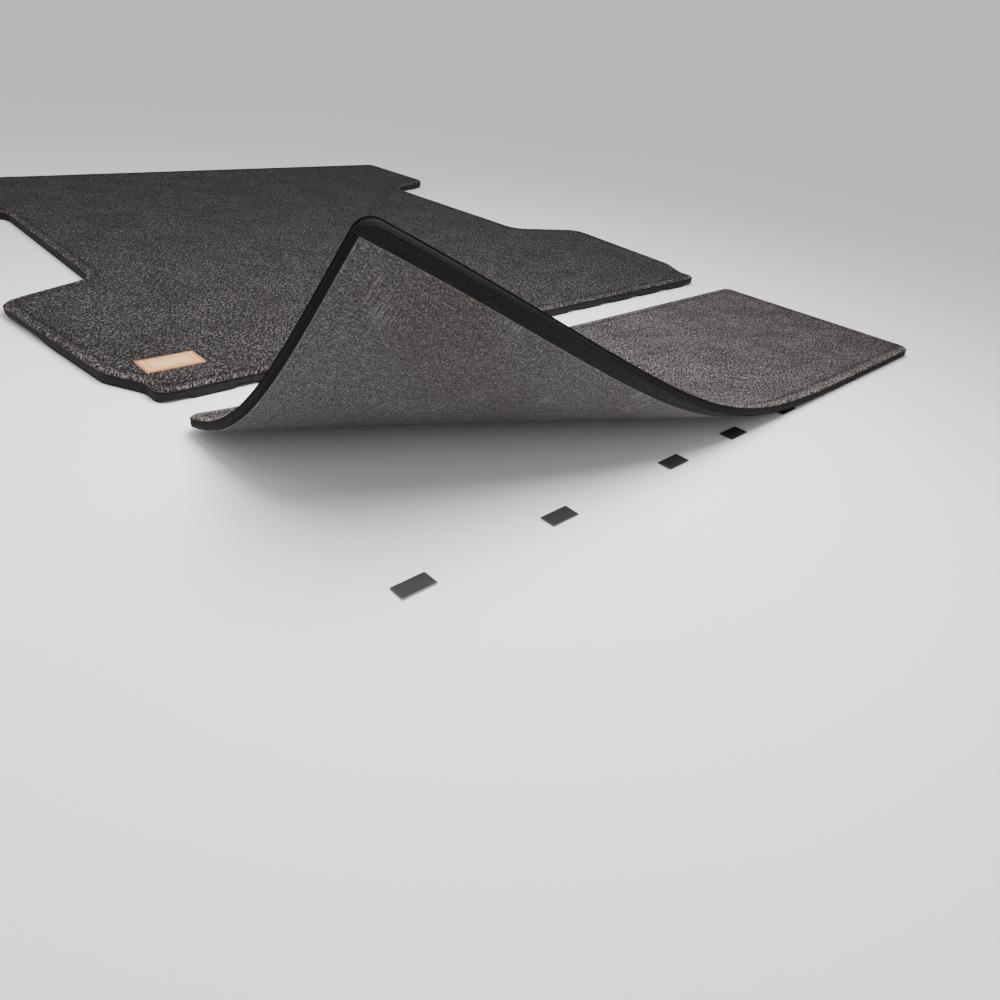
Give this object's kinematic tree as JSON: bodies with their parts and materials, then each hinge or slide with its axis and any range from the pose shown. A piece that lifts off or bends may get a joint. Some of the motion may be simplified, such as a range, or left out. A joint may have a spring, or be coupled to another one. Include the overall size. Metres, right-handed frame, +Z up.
{
  "type": "truck bed liner",
  "caption": "Carpet and foam liner set for a pickup: a ribbed bed mat and a tailgate mat with one corner peeled off its hook pads.",
  "frame": {"origin": "under the middle hook pad, where its adhesive meets the open tailgate's inner face, level with the bed floor", "axes": "+X to the truck's right, +Y towards the cab, +Z up"},
  "size_m": [1.68, 2.3174, 0.4116],
  "materials": {
    "carpet": "heather grey needle-punched carpet",
    "foam": "black closed-cell foam, cut edge",
    "felt": "mid grey felt, 6 mm short of the foam along the front and sides",
    "loop_tape": "black loop tape",
    "hook_tape": "charcoal moulded hook tape",
    "adhesive": "off-white foam adhesive layer",
    "label": "plain cream woven patch with an orange border",
    "thread": "orange sewing thread"
  },
  "bodies": {
    "bed_mat": {"bed_mat_foam": "foam", "bed_mat_carpet": "carpet", "bed_mat_label": "label", "bed_mat_label_stitching": "thread"},
    "tailgate_set": {"tailgate_mat_carpet": "carpet", "tailgate_mat_foam": "foam", "tailgate_mat_backing": "felt", "tailgate_mat_loop_strip": "loop_tape", "hook_pad_1": "hook_tape", "hook_pad_2": "hook_tape", "hook_pad_3": "hook_tape", "hook_pad_4": "hook_tape", "hook_pad_5": "hook_tape", "hook_pad_6": "hook_tape", "hook_pad_7": "hook_tape", "pad_adhesive_1": "adhesive", "pad_adhesive_2": "adhesive", "pad_adhesive_3": "adhesive", "pad_adhesive_4": "adhesive", "pad_adhesive_5": "adhesive", "pad_adhesive_6": "adhesive", "pad_adhesive_7": "adhesive"},
    "tailgate_corner": {"tailgate_corner_carpet": "carpet", "tailgate_corner_foam": "foam", "tailgate_corner_backing": "felt", "tailgate_corner_loop_strip": "loop_tape"}
  },
  "joints": [
    {"name": "tailgate_swing", "type": "hinge", "parent": "bed_mat", "child": "tailgate_set", "pos_m": [0, 0.5615, 0], "axis": [-1, 0, 0], "range_deg": [0, 90]},
    {"name": "corner_peel", "type": "hinge", "parent": "tailgate_set", "child": "tailgate_corner", "pos_m": [0.49, -0.0135, 0.021], "axis": [-0.9089, 0.4169, 0], "range_deg": [-50, 25]}
  ]
}
